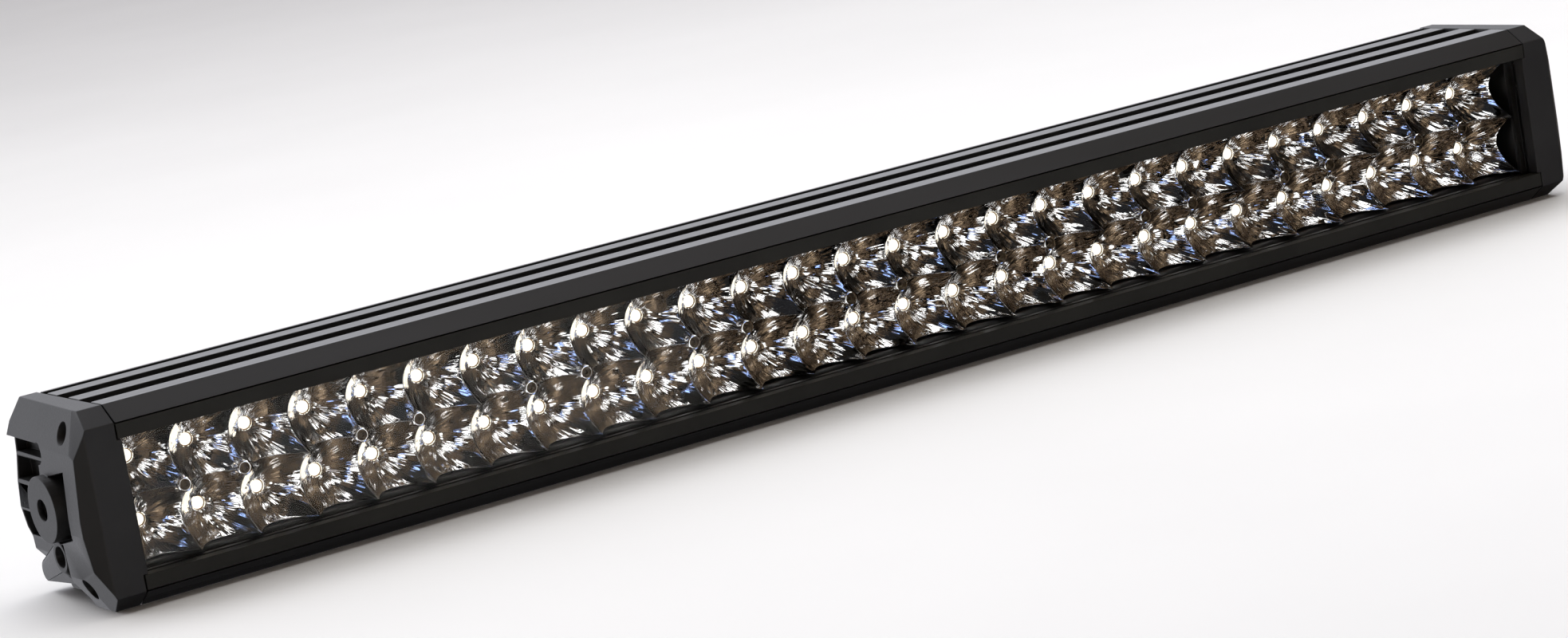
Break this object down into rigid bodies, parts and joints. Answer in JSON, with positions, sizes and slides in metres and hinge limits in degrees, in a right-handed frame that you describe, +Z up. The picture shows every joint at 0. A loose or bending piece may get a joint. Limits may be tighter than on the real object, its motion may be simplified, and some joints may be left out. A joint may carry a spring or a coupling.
{
  "type": "led light bar",
  "caption": "Straight LED light bar with two rows of chrome reflector cups behind a clear lens, a finned black housing and end caps with threaded side bosses.",
  "frame": {"origin": "the middle of the bar's bounding box, which is also the point midway between the two mounting bosses", "axes": "+X runs along the bar to its right end as seen from in front of it, -Y is the way the light shines, +Z is up"},
  "size_m": [0.75, 0.08, 0.08],
  "materials": {
    "housing_coat": "black anodised aluminium extrusion with a satin, finely drawn surface",
    "bezel_coat": "fine-grained black powder coat",
    "cap_coat": "fine-grained black powder coat on a die casting",
    "lens_clear": "clear hard-coated polycarbonate",
    "gasket": "matt black silicone",
    "dark_screw": "blackened steel",
    "insert_steel": "zinc-plated steel",
    "reflector_chrome": "vacuum-metallised, bright, with fine radial moulding streaks",
    "reflector_screw": "passivated steel, tan",
    "led_board": "white solder mask",
    "led_emitter": "yellow phosphor under clear silicone",
    "thermal_pad": "soft grey-blue pad",
    "driver_board": "green solder mask",
    "driver_parts": "dark moulded cases and cans",
    "wire_red": "red insulation",
    "gland_black": "black nylon"
  },
  "bodies": {
    "root": {"housing": "housing_coat", "upper_bezel": "bezel_coat", "lower_bezel": "bezel_coat", "lens": "lens_clear", "lens_gasket": "gasket", "left_end_cap": "cap_coat", "right_end_cap": "cap_coat", "left_cap_gasket": "gasket", "right_cap_gasket": "gasket", "left_cap_screws": "dark_screw", "right_cap_screws": "dark_screw", "left_mount_insert": "insert_steel", "right_mount_insert": "insert_steel", "reflector_1": "reflector_chrome", "reflector_2": "reflector_chrome", "reflector_3": "reflector_chrome", "reflector_4": "reflector_chrome", "reflector_5": "reflector_chrome", "reflector_6": "reflector_chrome", "reflector_7": "reflector_chrome", "reflector_8": "reflector_chrome", "reflector_9": "reflector_chrome", "reflector_screws": "reflector_screw", "led_board_1": "led_board", "led_board_2": "led_board", "led_board_3": "led_board", "led_emitters": "led_emitter", "thermal_pads": "thermal_pad", "driver_board": "driver_board", "driver_components": "driver_parts", "driver_screws": "insert_steel", "supply_wires": "wire_red", "cable_gland": "gland_black", "gland_nut": "insert_steel", "breather_vent": "gland_black"}
  },
  "joints": []
}
